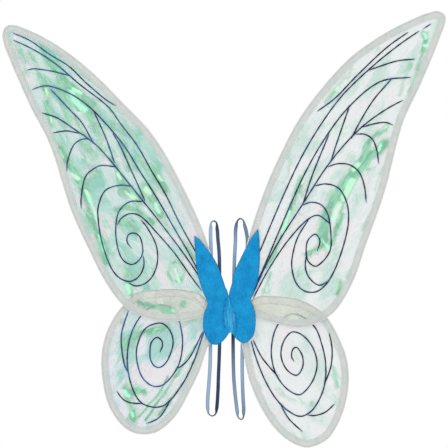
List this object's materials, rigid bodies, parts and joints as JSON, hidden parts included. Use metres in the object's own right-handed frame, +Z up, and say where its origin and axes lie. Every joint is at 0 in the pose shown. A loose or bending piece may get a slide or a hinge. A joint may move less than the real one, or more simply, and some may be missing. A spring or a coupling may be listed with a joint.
{
  "type": "fairy wings",
  "caption": "Costume fairy wings of sheer glittered mesh and iridescent film on bendable wire loops, joined under a felt butterfly, with elastic shoulder loops.",
  "frame": {"origin": "on the back patch's flat rear face, which rests on the wearer's back, level with the body fold's middle", "axes": "+Z up, +X across the span, +Y towards the wearer, so the felt butterfly faces -Y"},
  "size_m": [0.6781, 0.02, 0.6684],
  "materials": {
    "white_coated_wire": "thin white plastic-coated steel wire, satin",
    "hem_mesh": "two plies of sheer nylon mesh folded round the wire, matte",
    "glitter_mesh": "sheer nylon mesh with blue glitter veins",
    "iridescent_film": "crinkled iridescent film, green to lavender",
    "binding_tape": "white cloth tape, matte",
    "blue_felt": "blue craft felt, matte, fibrous",
    "braided_elastic": "narrow braided elastic, blue",
    "sewing_thread": "blue sewing thread"
  },
  "bodies": {
    "hub": {"centre_stay": "binding_tape", "back_patch": "blue_felt", "felt_body_fold": "blue_felt"},
    "left_wing": {"left_upper_wire_loop": "white_coated_wire", "left_upper_hem_strip": "hem_mesh", "left_upper_front_mesh": "glitter_mesh", "left_upper_back_mesh": "glitter_mesh", "left_upper_film": "iridescent_film", "left_upper_root_wrap": "binding_tape", "felt_patch_left": "blue_felt"},
    "right_wing": {"right_upper_wire_loop": "white_coated_wire", "right_upper_hem_strip": "hem_mesh", "right_upper_front_mesh": "glitter_mesh", "right_upper_back_mesh": "glitter_mesh", "right_upper_film": "iridescent_film", "right_upper_root_wrap": "binding_tape", "felt_patch_right": "blue_felt"},
    "left_lower_wing": {"left_lower_wire_loop": "white_coated_wire", "left_lower_hem_strip": "hem_mesh", "left_lower_front_mesh": "glitter_mesh", "left_lower_back_mesh": "glitter_mesh", "left_lower_film": "iridescent_film", "left_lower_root_wrap": "binding_tape"},
    "right_lower_wing": {"right_lower_wire_loop": "white_coated_wire", "right_lower_hem_strip": "hem_mesh", "right_lower_front_mesh": "glitter_mesh", "right_lower_back_mesh": "glitter_mesh", "right_lower_film": "iridescent_film", "right_lower_root_wrap": "binding_tape"},
    "left_strap": {"left_shoulder_loop": "braided_elastic", "left_bar_tack_1": "sewing_thread", "left_bar_tack_2": "sewing_thread"},
    "right_strap": {"right_shoulder_loop": "braided_elastic", "right_bar_tack_1": "sewing_thread", "right_bar_tack_2": "sewing_thread"}
  },
  "joints": [
    {"name": "left_wing_fold", "type": "hinge", "parent": "hub", "child": "left_wing", "pos_m": [-0.005, -0.0167, 0], "axis": [0, 0, 1], "range_deg": [-8, 85]},
    {"name": "right_wing_fold", "type": "hinge", "parent": "hub", "child": "right_wing", "pos_m": [0.005, -0.0167, 0], "axis": [0, 0, -1], "range_deg": [-8, 85]},
    {"name": "left_lower_wing_fan", "type": "hinge", "parent": "left_wing", "child": "left_lower_wing", "pos_m": [-0.011, -0.0082, -0.008], "axis": [0, 1, 0], "range_deg": [-8, 8]},
    {"name": "right_lower_wing_fan", "type": "hinge", "parent": "right_wing", "child": "right_lower_wing", "pos_m": [0.011, -0.0082, -0.008], "axis": [0, -1, 0], "range_deg": [-8, 8]},
    {"name": "left_strap_swing", "type": "hinge", "parent": "hub", "child": "left_strap", "pos_m": [-0.0113, -0.0002, 0], "axis": [0, 0, -1], "range_deg": [0, 90]},
    {"name": "right_strap_swing", "type": "hinge", "parent": "hub", "child": "right_strap", "pos_m": [0.0035, -0.0002, 0], "axis": [0, 0, 1], "range_deg": [0, 90]}
  ]
}
